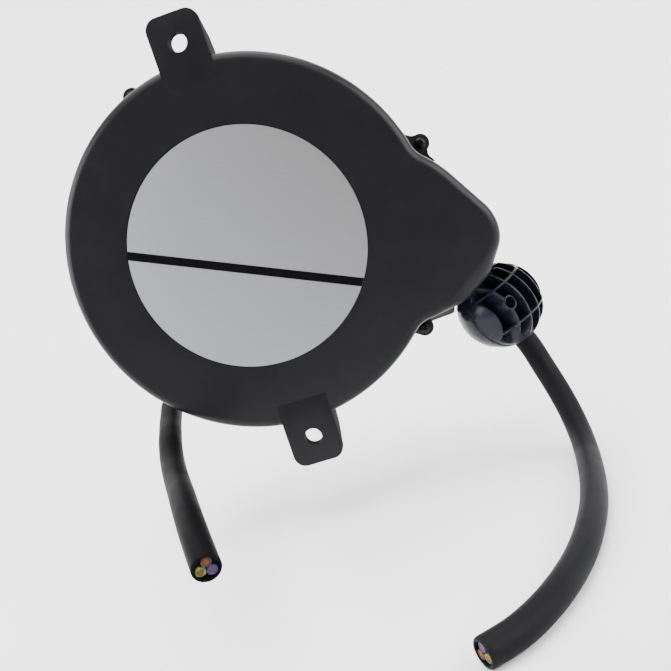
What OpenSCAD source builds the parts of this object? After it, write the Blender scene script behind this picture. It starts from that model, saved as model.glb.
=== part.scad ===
// Retractable cable reel with two flush mounting lugs, a sprung drum and a stop ball.
// X runs to the right, Y runs back through the housing, Z runs up along the lugs.
// The origin lies on the front face, midway between the two lug holes.

/* [Housing] */
// Outer radius of the round housing
housing_r = 78; // [77:0.5:80]
// Depth of the front cover, from the front face to the joint line
split_y = 26; // [26:0.5:27]
// Depth of the whole housing
housing_d = 48; // [48:0.5:50]
// Wall thickness of both covers
wall = 2.5; // [2:0.25:2.5]
// Radius of the rounded front edge
front_round = 3.5; // [2.5:0.25:3.75]
// Radius of the rounded rear edge
rear_round = 7; // [5:0.5:7]

/* [Mounting lugs] */
// Distance between the two lug holes
lug_spacing = 170.4; // [170:0.2:172]
// Radius of a lug hole
lug_hole_r = 3.75; // [3:0.25:4]
// Width of a lug
lug_w = 22; // [20:1:24]
// Distance from the centre to the tip of a lug
lug_tip = 96.8; // [96:0.1:98]
// Thickness of the lug plate
lug_t = 3; // [2.5:0.25:4]

/* [Label] */
// Radius of the label disc
label_r = 50; // [45:0.5:52]
// Thickness of the label disc
label_t = 0.45; // [0.3:0.05:0.5]

/* [Cable] */
// Outer diameter of the three-core cable
cable_d = 10; // [9:0.25:10]
// Radius at which the outer layer leaves the drum
lead_r = 66.85; // [66.5:0.05:67]
// Direction in which the cable leaves, below the X axis
exit_a = 70; // [69:0.5:71]

/* [Stop ball] */
// Radius of the stop ball
ball_r = 18.8; // [18:0.1:19]
// Distance from the drum's tangent point to the ball's centre
ball_s = 87.2; // [87.2:0.1:90]
// Thickness of the ribs in the ball
rib_t = 1; // [0.9:0.1:1.4]

/* [Drum] */
// Radius of the drum flanges
flange_r = 73.5; // [72.5:0.25:74]
// Thickness of a drum flange
flange_t = 2; // [1.5:0.25:2]
// Radius of the fixed centre shaft
shaft_r = 6; // [5.5:0.25:6]
// Turns of the flat coil spring
spring_turns = 9; // [6:1:10]

/* [Guide rollers] */
// Radius of a guide roller
roller_r = 4.5; // [4:0.1:4.5]
// Radius of a roller pin
pin_r = 1.5; // [1.25:0.25:1.75]

/* [Hidden] */
$fn = 96;
e = 0.01;
cable_r = cable_d / 2;
mid = split_y;
lx = -0.9;
lz = -0.3;

// ---------- plane helpers: 2-D shapes drawn in X and Z, extruded along Y ----------
module ex(y0, y1) { rotate([90, 0, 0]) translate([0, 0, -y1]) linear_extrude(height = y1 - y0) children(); }
module cy(x, z, y0, y1, r, fn = 48) { translate([x, y0, z]) rotate([-90, 0, 0]) cylinder(h = y1 - y0, r = r, $fn = fn); }
// profile drawn as radius and depth, turned about the Y axis
module rv() { rotate([-90, 0, 0]) rotate_extrude($fn = 120) children(); }
module ring(y0, y1, ri, ro) { rv() translate([ri, y0]) square([ro - ri, y1 - y0]); }
function pol(r, a) = [r * cos(a), r * sin(a)];
function arc(c, r, a0, a1, n) = [for (i = [0:n]) c + pol(r, a0 + (a1 - a0) * i / n)];

// ---------- outline of the nose, as arcs and straights that run clockwise ----------
fa = 14;
cu = pol(housing_r + 12, fa);
e1 = cu + pol(12, 227);
c2 = e1 + pol(50, 227);
e2 = c2 + pol(50, 31.5);
e3 = e2 + pol(18, -58.5);
c3 = e3 - pol(20, 31.5);
e4 = c3 + pol(20, -2);
c4 = e4 - pol(16, -2);
e5 = c4 + pol(16, -33);
e6 = e5 + pol(10, -123);
c5 = e6 - pol(4.2, -33);
e7 = c5 + pol(4.2, -57.5);
e8 = e7 + pol(10.7, -147.5);
c6 = e8 - pol(16, -57.5);
e9 = c6 + pol(16, -82);
e10 = e9 + pol(13.8, -172);
u9 = pol(1, -82);
r9 = (e10 * e10 - housing_r * housing_r) / (2 * housing_r - 2 * (e10 * u9));
c7 = e10 + r9 * u9;
fb = atan2(c7[1], c7[0]);
function nose(d) = concat(arc(cu, 12 + d, 200, 227, 6), arc(c2, 50 - d, 47, 31.5, 3),
    arc(c3, 20 - d, 31.5, -2, 7), arc(c4, 16 - d, -2, -33, 6),
    arc(c5, 4.2 - d, -33, -57.5, 3), arc(c6, 16 - d, -57.5, -82, 4),
    arc(c7, r9 + d, 98, 174 + fb, 5), [[40, -12]]);
module nose2(d) { polygon(nose(d)); }

// ---------- cable line: local z runs along the cable, local x points to the drum ----------
t0 = pol(lead_r, 90 - exit_a);
module line(s) { translate([t0[0], mid, t0[1]]) rotate([0, 90 + exit_a, 0]) translate([0, 0, s]) children(); }
function lp(s, o) = t0 + pol(s, -exit_a) + pol(o, 90 - exit_a);
mouth_s = ball_s - 0.82 * ball_r;
mouth_e = mouth_s - 0.3;
up_roll = lp(48, cable_r + roller_r + 0.2);
lo_roll = lp(54.5, -(cable_r + roller_r + 0.2));

// ---------- housing ----------
ear_a = [12.7, 112.2, 175, 234, -44.6];
ear_r = [housing_r + 4, housing_r + 2.5, housing_r + 2.5, housing_r + 2.5, housing_r + 4.5];
function ear_p(i) = pol(ear_r[i], ear_a[i]);
cover_a = [90, 330, 160];
tail_a = 219.2;
cap_r = 22;
cap_y = 79;

module ear2(i) {
    q = ear_r[i];
    side = q > housing_r + 3 ? [[housing_r - 2, 8], [housing_r + 0.6, 6.3], [housing_r + 2, 4.9], [q - 1, 4.1], [q + 0.4, 3.7]]
        : [[housing_r - 2, 8], [housing_r + 0.6, 5.6], [q - 1, 4.1], [q + 0.4, 3.7]];
    translate(ear_p(i)) circle(r = 4, $fn = 32);
    rotate(ear_a[i]) for (k = [-1, 1])
        polygon(concat([for (v = side) [v[0], k * v[1]]], [[q + 0.4, -k * 0.5], [housing_r - 2, -k * 0.5]]));
    // web that fills the corner between the first ear and the nose
    if (i == 0) rotate(ear_a[i]) polygon([[83.4, -3], [83.3, -4.3], [82.85, -5.2], [82.95, -6.6], [83.5, -8],
        [83.9, -9.6], [80.6, -8.6], [79, -4]]);
}
module nose_front(d) {
    for (k = [0:5]) {
        a = 90 * k / 6;
        ex(front_round * (1 - sin(a)) , mid) nose2(d + front_round * (1 - cos(a)));
    }
}
module nose_rear(d) {
    for (k = [0:5]) {
        a = 90 * k / 6;
        ex(mid, housing_d - rear_round * 0.5 * (1 - sin(a))) nose2(d + rear_round * 0.5 * (1 - cos(a)));
    }
}
// tube round the rubber bush in the mouth, one half in each cover
module collar(y0) intersection() {
    line(62.3) cylinder(h = mouth_e + 1 - 62.3, r = 7.6, $fn = 64);
    translate([60, y0, -60]) cube([50, 20, 50]);
}
// downward flare of the nose wall beside the ball
module flare(y0, y1, z1) {
    hull() {
        ex(y1 - 0.1, y1) polygon([[61, -50], [61.5, -57.2], [73.2, -56.6], [74.5, -46]]);
        ex(y0, y0 + 0.1) polygon([[61, -50], [62, -51.9], [73.6, -50], [74.5, -46]]);
    }
}
module front_cover() color([0.14, 0.14, 0.15]) difference() {
    union() {
        difference() {
            union() {
                rv() difference() {
                    square([housing_r, mid]);
                    translate([housing_r - front_round, 0]) difference() {
                        translate([0, -1]) square([front_round + 1, front_round + 1]);
                        translate([0, front_round]) circle(r = front_round, $fn = 48);
                    }
                }
                nose_front(0);
                for (i = [0:4]) ex(22, mid) ear2(i);
                flare(5, mid - e, 0);
            }
            ex(wall, mid + 1) nose2(wall);
            cy(0, 0, wall, mid + 1, housing_r - wall, 120);
        }
        // lugs, with side gussets that run out towards the tip
        for (s = [1, -1]) {
            ex(0, lug_t) polygon(concat([[-lug_w / 2, s * 60], [lug_w / 2, s * 60]],
                [for (i = [0:4]) [lug_w / 2 - 5 + 5 * cos(i * 22.5), s * (lug_tip - 5 + 5 * sin(i * 22.5))]],
                [for (i = [0:4]) [-lug_w / 2 + 5 - 5 * sin(i * 22.5), s * (lug_tip - 5 + 5 * cos(i * 22.5))]]));
            for (x = [-lug_w / 2, lug_w / 2 - 2.5]) translate([x, 0, 0]) rotate([90, 0, 90])
                linear_extrude(height = 2.5) polygon([[0, s * (housing_r - 2)], [15, s * (housing_r - 2)],
                    [15, s * (housing_r + 0.4)], [12.2, s * (housing_r + 7.2)], [lug_t - e, s * (lug_tip - 5)], [0, s * (lug_tip - 5)]]);
            cy(0, s * lug_spacing / 2, lug_t - e, 6, lug_hole_r + 3, 48);
        }
        // shaft boss, pin bosses and pawl post
        cy(0, 0, wall - e, 11, 11, 64);
        for (p = [up_roll, lo_roll]) cy(p[0], p[1], wall - e, 15.5, 3.6);
        cy(pawl_p[0], pawl_p[1], wall - e, 9.2, 4.2);
        cy(post_p[0], post_p[1], wall - e, 13, 1.6);
        collar(mid - 20);
    }
    for (s = [1, -1]) cy(0, s * lug_spacing / 2, -1, 20, lug_hole_r, 64);
    cy(0, 0, 4, 20, shaft_r + 0.02, 64);
    for (p = [up_roll, lo_roll]) cy(p[0], p[1], 6, 20, pin_r);
    cy(pawl_p[0], pawl_p[1], 4.5, 20, 2);
    for (i = [0:4]) cy(ear_p(i)[0], ear_p(i)[1], 10, 40, 1.7, 32);
    cy(lx, lz, -1, 0.6, label_r + 0.3, 120);
    line(55) cylinder(h = 30, r = 6.65, $fn = 64);
    line(mouth_e) cylinder(h = 10, r = 13, $fn = 64);
}
module rear_cover() color([0.13, 0.13, 0.14]) difference() {
    union() {
        difference() {
            union() {
                rv() difference() {
                    translate([0, mid]) square([housing_r, housing_d - mid]);
                    translate([housing_r - rear_round, housing_d - rear_round]) difference() {
                        square([rear_round + 1, rear_round + 1]);
                        circle(r = rear_round, $fn = 64);
                    }
                }
                nose_rear(0);
                for (i = [0:4]) ex(mid, 31) ear2(i);
                mirror_y(mid) flare(5, mid - e, 0);
            }
            ex(mid - 1, housing_d - wall) nose2(wall);
            rv() difference() {
                translate([0, mid - 1]) square([housing_r - wall, housing_d - wall - mid + 1]);
                translate([housing_r - rear_round, housing_d - rear_round]) difference() {
                    square([rear_round + 1, rear_round + 1]);
                    circle(r = rear_round - wall, $fn = 64);
                }
            }
        }
        for (p = [up_roll, lo_roll]) cy(p[0], p[1], 36.5, housing_d - wall + e, 3.6);
        collar(mid);
        // screw bosses for the slip-ring cover
        for (a = cover_a) cy(pol(27, a)[0], pol(27, a)[1], 42.2, housing_d - wall + e, 3.6, 32);
        // stiffening ribs across the back
        for (a = [0:45:315]) if (a != 225) rotate([0, -a, 0]) translate([33, housing_d - e, -0.8]) cube([34, 1.4, 1.6]);
        ring(housing_d - e, housing_d + 1.4, 66.6, 68.2);
    }
    cy(0, 0, mid, 60, 17, 96);
    for (p = [up_roll, lo_roll]) cy(p[0], p[1], 30, 43, pin_r);
    for (i = [0:4]) cy(ear_p(i)[0], ear_p(i)[1], 20, 30.2, 1.25, 32);
    for (a = cover_a) cy(pol(27, a)[0], pol(27, a)[1], 42.4, 60, 1.25, 32);
    line(55) cylinder(h = 30, r = 6.65, $fn = 64);
    line(mouth_e) cylinder(h = 10, r = 13, $fn = 64);
}
module mirror_y(y) { translate([0, y, 0]) mirror([0, 1, 0]) translate([0, -y, 0]) children(); }

// hollow cap over the slip rings
module tail_line(r, y = 70) { translate([pol(r, tail_a)[0], y, pol(r, tail_a)[1]]) rotate([0, 90 - tail_a, 0]) children(); }
module slip_ring_cover() color([0.12, 0.12, 0.13]) difference() {
    union() {
        rv() polygon(concat([[0, housing_d], [31, housing_d], [31, housing_d + 2], [30, housing_d + 3], [cap_r, housing_d + 3]],
            arc([cap_r - 3, cap_y - 3], 3, 0, 90, 6), [[0, cap_y]]));
        tail_line(0) cylinder(h = 26, r = 8.5, $fn = 64);
    }
    rv() polygon([[0, housing_d - 1], [19.6, housing_d - 1], [19.6, cap_y - 4], [17.6, cap_y - 2.2], [0, cap_y - 2.2]]);
    tail_line(12) cylinder(h = 20, r = 6, $fn = 64);
    for (a = cover_a) cy(pol(27, a)[0], pol(27, a)[1], housing_d - 1, housing_d + 9, 1.7, 32);
}
module label_disc() color([0.72, 0.73, 0.74]) cy(lx, lz, 0.6 - label_t, 0.6, label_r, 120);
module screw(x, z, y, len, r, hr, hh, s) {
    // head side towards s (-1 front, 1 rear)
    cy(x, z, s < 0 ? y : y - len, s < 0 ? y + len : y, r, 32);
    difference() {
        cy(x, z, s < 0 ? y - hh : y, s < 0 ? y : y + hh, hr, 32);
        for (a = [45, 135]) translate([x, s < 0 ? y - hh - 0.5 : y + hh - 0.6, z]) rotate([0, a, 0])
            translate([-hr * 0.6, 0, -0.3]) cube([hr * 1.2, 1.1, 0.6]);
    }
}
module housing_screws() color([0.2, 0.2, 0.21]) for (i = [0:4]) screw(ear_p(i)[0], ear_p(i)[1], 22, 8, 1.25, 2.4, 1.7, -1);
module cover_screws() color([0.2, 0.2, 0.21]) for (a = cover_a) screw(pol(27, a)[0], pol(27, a)[1], housing_d + 3, 8.5, 1.25, 2.6, 1.6, 1);
module outlet_bush() color([0.1, 0.1, 0.11]) line(0) rotate_extrude($fn = 64) difference() {
    union() {
        translate([5.6, 60]) square([1, mouth_e - 60]);
        translate([5.6, 60]) square([4.4, 2.2]);
    }
    translate([5, 59.5]) circle(r = 1.6, $fn = 32);
}

// ---------- shaft, drum and spring ----------
wy0 = mid - cable_d - 0.3;
wy1 = mid + cable_d + 0.3;
hub_r = lead_r - 2.5 * cable_d - 0.55;
module centre_shaft() color("silver") difference() {
    cy(0, 0, 4, 69.5, shaft_r, 64);
    translate([-0.5, 16, -shaft_r - 1]) cube([1, wy1 - 21, shaft_r + 1]);
    ring(67, 68.1, shaft_r - 0.8, shaft_r + 1);
}
module shaft_circlip() color([0.25, 0.25, 0.27]) difference() {
    ring(67.1, 68, shaft_r - 0.8, shaft_r + 2);
    translate([-1.6, 66, 0]) cube([3.2, 4, 12]);
}
module drum() color([0.2, 0.2, 0.21]) difference() {
    union() {
        ring(wy0 + e, wy1 + flange_t, hub_r - 2.5, hub_r);
        ring(wy1, wy1 + flange_t, 8, flange_r);
        ring(wy1 - 6, wy1 + flange_t, 8, 11);
        for (a = [0:60:300]) rotate([0, a, 0]) translate([hub_r + 2, wy1 + flange_t - e, -1]) cube([26, 1.6, 2]);
    }
    // window for the inner end of the cable, core hole and screw hole in the web
    translate([26, 25.5, -2]) cube([20, wy1 - 25.5, 24]);
    cy(24, -16, wy1 - 1, wy1 + 5, 4.5);
    cy(24, -2.5, wy1 - 1, wy1 + 1.8, 1.25, 24);
    for (a = [30:60:330]) rotate([0, a, 0]) translate([50, wy1 - 1, 0]) rotate([-90, 0, 0]) cylinder(h = 5, r = 6, $fn = 32);
}
module drum_front_flange() color([0.2, 0.2, 0.21]) difference() {
    ring(wy0 - flange_t, wy0, hub_r - 2.5, flange_r);
    for (a = [0:60:300]) rotate([0, a, 0]) translate([62, wy0 - flange_t - 1, 0]) rotate([-90, 0, 0]) cylinder(h = 5, r = 5, $fn = 32);
}
ratchet_n = 10;
module ratchet_ring() color([0.75, 0.75, 0.72]) difference() {
    ring(wy0 - flange_t - 3.6, wy0 - flange_t - e, 42, 52);
    for (i = [0:ratchet_n - 1]) rotate([0, -i * 360 / ratchet_n - 8, 0]) translate([0, wy0 - flange_t - 5, 0])
        rotate([90, 0, 0]) translate([0, 0, -8]) linear_extrude(height = 8) polygon([[47.5, -1], [54, -2], [54, 9], [52, 8.6]]);
}
module spring_cover() color([0.55, 0.56, 0.58]) ring(wy0 - flange_t, wy0 - 0.6, 8, hub_r - 2.6);
module spring_divider() color([0.55, 0.56, 0.58]) ring(24.3, 24.7, 11, hub_r - 2.6);
module front_bush() color([0.85, 0.7, 0.35]) ring(wy0 - flange_t - 1, wy0 + 0.7, shaft_r + 0.05, 8);
module rear_bush() color([0.85, 0.7, 0.35]) ring(wy1 - 6, wy1 + flange_t, shaft_r + 0.05, 8);
// flat coil spring: inner end in the shaft slot, outer end at the hub wall
module power_spring() color([0.45, 0.48, 0.52]) ex(wy0 + 1.2, 24) {
    n = spring_turns * 18;
    ri = shaft_r + 2.6;
    ro = hub_r - 4.6;
    polygon(concat([[0.25, -3.2], [0.25, -ri]], [for (i = [1:n - 1]) pol(ri + (ro - ri) * i / n, i * 20 - 90)],
        [[0.25, -ro], [0.25, -hub_r + 2.6], [-0.25, -hub_r + 2.6], [-0.25, -ro - 0.5]],
        [for (i = [n - 1:-1:1]) pol(ri + (ro - ri) * i / n + 0.5, i * 20 - 90)], [[-0.25, -ri - 0.5], [-0.25, -3.2]]));
}
module wound_cable() color([0.1, 0.1, 0.11]) rv() {
    for (l = [0:2]) for (k = [-1, 1]) translate([lead_r - l * (cable_d + 0.05), mid + k * (cable_r + 0.02)]) circle(r = cable_r + 0.06, $fn = 32);
    translate([lead_r - 2 * cable_d, mid - cable_r]) square([2 * cable_d, cable_d]);
}
// end of the wound cable inside the hub, with its saddle, screw and bared cores
module cable_inner_end() color([0.13, 0.13, 0.14]) translate([32.7, 30.55, -8]) cylinder(h = 21, r = cable_r, $fn = 48);
module cable_anchor() color([0.6, 0.6, 0.62]) difference() {
    union() {
        translate([32.7, 30.55, -5]) cylinder(h = 5, r = cable_r + 0.6, $fn = 48);
        translate([20.5, 34.4, -5]) cube([10.5, 1.85, 5]);
    }
    translate([32.7, 30.55, -6]) cylinder(h = 7, r = cable_r + 0.01, $fn = 48);
    cy(24, -2.5, 34, 37, 1.3, 24);
}
module anchor_screw() color([0.75, 0.75, 0.77]) { cy(24, -2.5, 32.9, 34.4, 2.2, 32); cy(24, -2.5, 34.4 - e, 38, 1.2, 24); }
module drum_core_wires() color([0.45, 0.3, 0.15]) for (i = [-1, 0, 1])
    tube([[32.7, 30.55 + 2.3 * i, -8.05], [32.6, 30.55 + 2.3 * i, -9.6], [29 + 0.6 * i, 31.8 + 2.3 * i, -12.8 + 0.6 * i], [24 + 2 * i, 33.6 + 2 * i, -16 + 1.8 * i],
        [24 + 2 * i, 40, -16 + 1.8 * i], [18 + 2 * i, 40.2, -12 + 1.8 * i], [11 + 1.6 * i, 41, -7.4 + 1.9 * i],
        [11 + 1.6 * i, 48.7, -7.4 + 1.9 * i]], 1, [0, 0, 1], 8);
module slip_ring_carrier() color([0.82, 0.8, 0.74]) {
    ring(wy1 + flange_t, 66.8, 7, 11);
    for (y = [50, 55.4, 60.8]) ring(y - 1.2 + e, y - 0.1, 10.9, 15.5);
    ring(65.6, 66.8, 10.9, 15.5);
}
module slip(y) { ring(y, y + 4.0, 11, 14); }
module slip_ring_live() color([0.8, 0.5, 0.3]) slip(50);
module slip_ring_neutral() color([0.8, 0.5, 0.3]) slip(55.4);
module slip_ring_earth() color([0.8, 0.5, 0.3]) slip(60.8);
finger_y = [52, 57.4, 62.8];
module cyz(x, y, z0, z1, r) { translate([x, y, z0]) cylinder(h = z1 - z0, r = r, $fn = 24); }
module contact_holder() color([0.85, 0.83, 0.78]) difference() {
    union() {
        translate([-5, 49, 16.1]) cube([10, 26, 1.9]);
        translate([-4, 69, 12]) cube([8, cap_y - 2.2 - 69, 4.2]);
    }
    for (y = finger_y) cyz(3, y, 15, 20, 0.9);
}
module contact_fingers() color([0.85, 0.6, 0.3]) for (y = finger_y) difference() {
    union() {
        translate([-6, y - 1.4, 15.7]) cube([11, 2.8, 0.4 - e]);
        translate([-1.5, y - 1.2, 14.1]) cube([3, 2.4, 1.61]);
    }
    cyz(3, y, 15, 20, 0.86);
}
module contact_screws() color([0.8, 0.8, 0.8]) for (y = finger_y) { cyz(3, y, 15.7, 18.02, 0.85); cyz(3, y, 18, 18.6, 1.4); }
// three bared cores, round the inside of the cap to the contact fingers
module tail_core_wires() color([0.45, 0.3, 0.15]) for (i = [0:2]) let (y = 67.6 + 2.4 * i, a = 137 - 9 * i)
    tube(concat([for (q = [[19.55, tail_a], [19.1, tail_a], [18.04, 217.8], [17.6, 214.3], [17.8, 205], [17.8, 188], [17.8, 168], [17.8, 148], [17.8, a]])
        [pol(q[0], q[1])[0], y, pol(q[0], q[1])[1]]],
        [[pol(17.8, a - 1)[0], y - 3, pol(17.8, a - 1)[1]], [pol(17.8, a - 1)[0], finger_y[i] + 2.2, pol(17.8, a - 1)[1]],
        [-7.3, finger_y[i], 17.12], [-5.7, finger_y[i], 17.12]]), 1, [0.87, 0.15, -0.5], 8);
// compression nut and the length of cable that it grips
module gland_nut() color([0.12, 0.12, 0.13]) tail_line(26.2) difference() {
    cylinder(h = 4.2, r = 8.4, $fn = 64);
    translate([0, 0, -1]) cylinder(h = 6, r = 5.96, $fn = 64);
    for (a = [0:30:330]) rotate([0, 0, a]) translate([8.1, -0.5, 0.8]) cube([1, 1, 4]);
}
module gland_cable() color([0.13, 0.13, 0.14]) tail_line(19.6) cylinder(h = 24.4, r = cable_r, $fn = 48);
// tapered, ribbed sleeve where the fixed cable leaves the cap
module tail_strain_relief() color([0.1, 0.1, 0.11]) tail_line(26) rotate_extrude($fn = 64) difference() {
    union() {
        polygon([[5.02, -6.4], [5.9, -6.4], [5.9, 4.5], [8, 4.5], [8, 6], [7.3, 6.8], [6.2, 18], [5.02, 18]]);
    }
    for (y = [8:2.8:16.4]) translate([6.75 - (y - 8) * 0.098, y]) square([2, 1.2]);
}

// ---------- latch ----------
pawl_p = pol(63, 205);
post_p = pol(66, 218);
module latch_pawl() color([0.75, 0.75, 0.72]) difference() {
    union() {
        cy(pawl_p[0], pawl_p[1], 9.6, 12.9, 4, 32);
        ex(9.6, 12.9) polygon([pol(66, 207), pol(60, 204), pol(53, 214.3), pol(52.6, 216.5), pol(55.5, 217)]);
    }
    cy(pawl_p[0], pawl_p[1], 9, 14, 2.05, 32);
}
module pawl_pin() color("silver") cy(pawl_p[0], pawl_p[1], 4.5, 13.4, 2, 32);
// hairpin spring between the fixed post and the pawl
module pawl_spring() color([0.6, 0.6, 0.62]) ex(11, 11.6) difference() {
    translate(post_p) union() { circle(r = 2.4, $fn = 32); rotate(60) translate([0, 1.6]) square([8.3, 0.6]); }
    translate(post_p) circle(r = 1.75, $fn = 32);
}

// ---------- guide rollers and the run of cable in the nose ----------
module roller(p) { difference() { cy(p[0], p[1], 16, 36, roller_r); cy(p[0], p[1], 15, 37, pin_r + 0.05); } }
module upper_roller() color([0.88, 0.88, 0.85]) roller(up_roll);
module lower_roller() color([0.88, 0.88, 0.85]) roller(lo_roll);
module roller_pins() color("silver") for (p = [up_roll, lo_roll]) cy(p[0], p[1], 6, 43, pin_r);
module cable_run() color([0.13, 0.13, 0.14]) line(0) translate([0, 0, 39]) cylinder(h = mouth_s - 0.02 - 39, r = cable_r, $fn = 48);

// ---------- stop ball: two screwed halves with deep ribs ----------
// local z is the cable axis; the half's pole points along local y
ball_lo = -0.82 * ball_r;
ball_hi = 0.94 * ball_r;
boss_x = 9;
boss_z = -1.6;
fins = [-10.4, -4.5, 1.3, 7.4];
webs = [-9.6, 7.9];
module ycyl(x, y0, y1, r, fn = 32) { translate([x, y0, boss_z]) rotate([-90, 0, 0]) cylinder(h = y1 - y0, r = r, $fn = fn); }
module ball_half() difference() {
    intersection() {
        sphere(r = ball_r, $fn = 96);
        translate([-20, 0.05, ball_lo]) cube([40, 20, ball_hi - ball_lo]);
        union() {
            translate([-20, 0, -20]) cube([40, 3, 40]);
            translate([0, 0, -20]) cylinder(h = 40, r = 7.2, $fn = 48);
            for (x = fins) translate([x - rib_t / 2, 0, -20]) cube([rib_t, 20, 40]);
            for (z = webs) translate([-20, 0, z - rib_t / 2]) cube([40, 20, rib_t]);
            translate([-20, 0, -20]) cube([4.4, 20, 40]);
            translate([13, 0, -20]) cube([7, 20, 40]);
            ycyl(-boss_x, 0, 15.6, 3.2, 48);
            ycyl(boss_x, 0, 5, 3.7, 48);
        }
    }
    translate([0, 0, -20]) cylinder(h = 40, r = cable_r + 0.02, $fn = 48);
    // screw hole and its deep counterbore on one side, nut pocket at the joint on the other
    ycyl(-boss_x, -1, 12, 1.35);
    ycyl(-boss_x, 10.4, 20, 2.45);
    ycyl(boss_x, -1, 4, 1.35);
    ycyl(boss_x, -1, 2.6, 2.55);
}
module ball_at() { line(ball_s) rotate([0, 0, 135]) children(); }
module ball_half_front() color([0.11, 0.12, 0.16]) ball_at() ball_half();
module ball_half_rear() color([0.11, 0.12, 0.16]) ball_at() rotate([0, 0, 180]) ball_half();
module ball_screws() color([0.3, 0.3, 0.32]) ball_at() for (k = [0, 180]) rotate([0, 0, k]) {
    ycyl(-boss_x, -3.6, 10.4 + e, 1.25);
    difference() {
        ycyl(-boss_x, 10.4, 12, 2.2);
        translate([-boss_x - 3, 11.3, boss_z - 0.3]) cube([6, 2, 0.6]);
    }
}
module ball_nuts() color([0.6, 0.6, 0.62]) ball_at() for (k = [0, 180]) rotate([0, 0, k]) difference() {
    translate([boss_x, 0.3, boss_z]) rotate([-90, 0, 0]) cylinder(h = 2.2, r = 2.5, $fn = 6);
    ycyl(boss_x, -1, 4, 1.27);
}
module clamped_cable() color([0.13, 0.13, 0.14]) line(mouth_s) cylinder(h = 0.94 * ball_r + 0.82 * ball_r, r = cable_r, $fn = 48);

// ---------- free cables: swept tubes along hand-set route points ----------
main_exit = [lp(ball_s + 0.94 * ball_r, 0)[0], mid, lp(ball_s + 0.94 * ball_r, 0)[1]];
main_route = [main_exit, main_exit + 6 * [cos(exit_a), 0, -sin(exit_a)],
    [103.3, 24.3, -90.7], [106, 19.5, -101], [107.7, 11.6, -110.2], [108, 1.2, -117],
    [107.1, -10.8, -120.5], [105.6, -23.4, -121], [103.7, -36.6, -121], [101.4, -49.6, -121],
    [98.4, -62.6, -121], [94.6, -75.2, -121], [90.1, -87.7, -121], [84.6, -99.7, -121],
    [78, -111, -121], [70.3, -121.4, -121], [61.2, -130.3, -121], [50.4, -136.8, -121]];
tail_exit = [pol(44, tail_a)[0], 70, pol(44, tail_a)[1]];
tail_route = [tail_exit, tail_exit + 8 * [cos(tail_a), 0, sin(tail_a)],
    [-48.5, 68.4, -40.1], [-54.8, 64.2, -46.6], [-60.2, 57.6, -52.6], [-64.2, 49.4, -57.6],
    [-66.8, 40, -62], [-65.5, 29.5, -64.4], [-63.6, 18.5, -66], [-61, 7.1, -66.9], [-58.7, -4.3, -68.7],
    [-56.2, -15.6, -71.2], [-53.2, -26.7, -73.2], [-49.8, -37.7, -74.6], [-46.1, -48.8, -75.4],
    [-42.3, -59.9, -75.8], [-38.6, -71.1, -76.2], [-34.9, -82.1, -77], [-31.2, -93, -78.4],
    [-27.5, -103.6, -80.6], [-23.7, -114.2, -83.8]];
function unit(v) = v / norm(v);
function cr(a, b, c, d, t) = 0.5 * (2 * b + (c - a) * t + (2 * a - 5 * b + 4 * c - d) * t * t + (3 * b - a - 3 * c + d) * t * t * t);
function at(p, i) = p[max(0, min(len(p) - 1, i))];
function fine(p) = [for (i = [0:len(p) - 2]) for (t = [0, 0.5]) t == 0 ? p[i] : cr(at(p, i - 1), p[i], p[i + 1], at(p, i + 2), t), p[len(p) - 1]];
module tube(p, r, ref, n) {
    q = fine(p);
    m = len(q);
    tang = [for (i = [0:m - 1]) unit(q[min(i + 1, m - 1)] - q[max(i - 1, 0)])];
    pts = [for (i = [0:m - 1]) let (t = i == 0 ? unit(p[1] - p[0]) : tang[i], a = unit(cross(t, ref)), b = cross(t, a))
        for (k = [0:n - 1]) q[i] + r * (cos(k * 360 / n) * a + sin(k * 360 / n) * b)];
    polyhedron(pts, concat([[for (k = [0:n - 1]) n - 1 - k]], [[for (k = [0:n - 1]) (m - 1) * n + k]],
        [for (i = [0:m - 2]) for (k = [0:n - 1]) each [[i * n + k, i * n + (k + 1) % n, (i + 1) * n + (k + 1) % n],
            [i * n + k, (i + 1) * n + (k + 1) % n, (i + 1) * n + k]]]));
}
module main_cable() color([0.13, 0.13, 0.14]) tube(main_route, cable_r, [1, 0.2, 0.3], 12);
module tail_cable() color([0.13, 0.13, 0.14]) tube(tail_route, cable_r, [0.5, 0.1, -0.9], 12);

front_cover();
rear_cover();
slip_ring_cover();
label_disc();
housing_screws();
cover_screws();
centre_shaft();
shaft_circlip();
drum();
drum_front_flange();
ratchet_ring();
spring_cover();
spring_divider();
front_bush();
rear_bush();
cable_anchor();
anchor_screw();
cable_inner_end();
drum_core_wires();
wound_cable();
power_spring();
slip_ring_carrier();
slip_ring_live();
slip_ring_neutral();
slip_ring_earth();
contact_holder();
contact_fingers();
contact_screws();
tail_core_wires();
gland_nut();
gland_cable();
tail_strain_relief();
tail_cable();
outlet_bush();
upper_roller();
lower_roller();
roller_pins();
cable_run();
latch_pawl();
pawl_pin();
pawl_spring();
ball_half_front();
ball_half_rear();
ball_screws();
ball_nuts();
clamped_cable();
main_cable();
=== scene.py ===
import math
import random
import bpy
import bmesh
import numpy as np
from mathutils import Vector, Matrix


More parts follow.
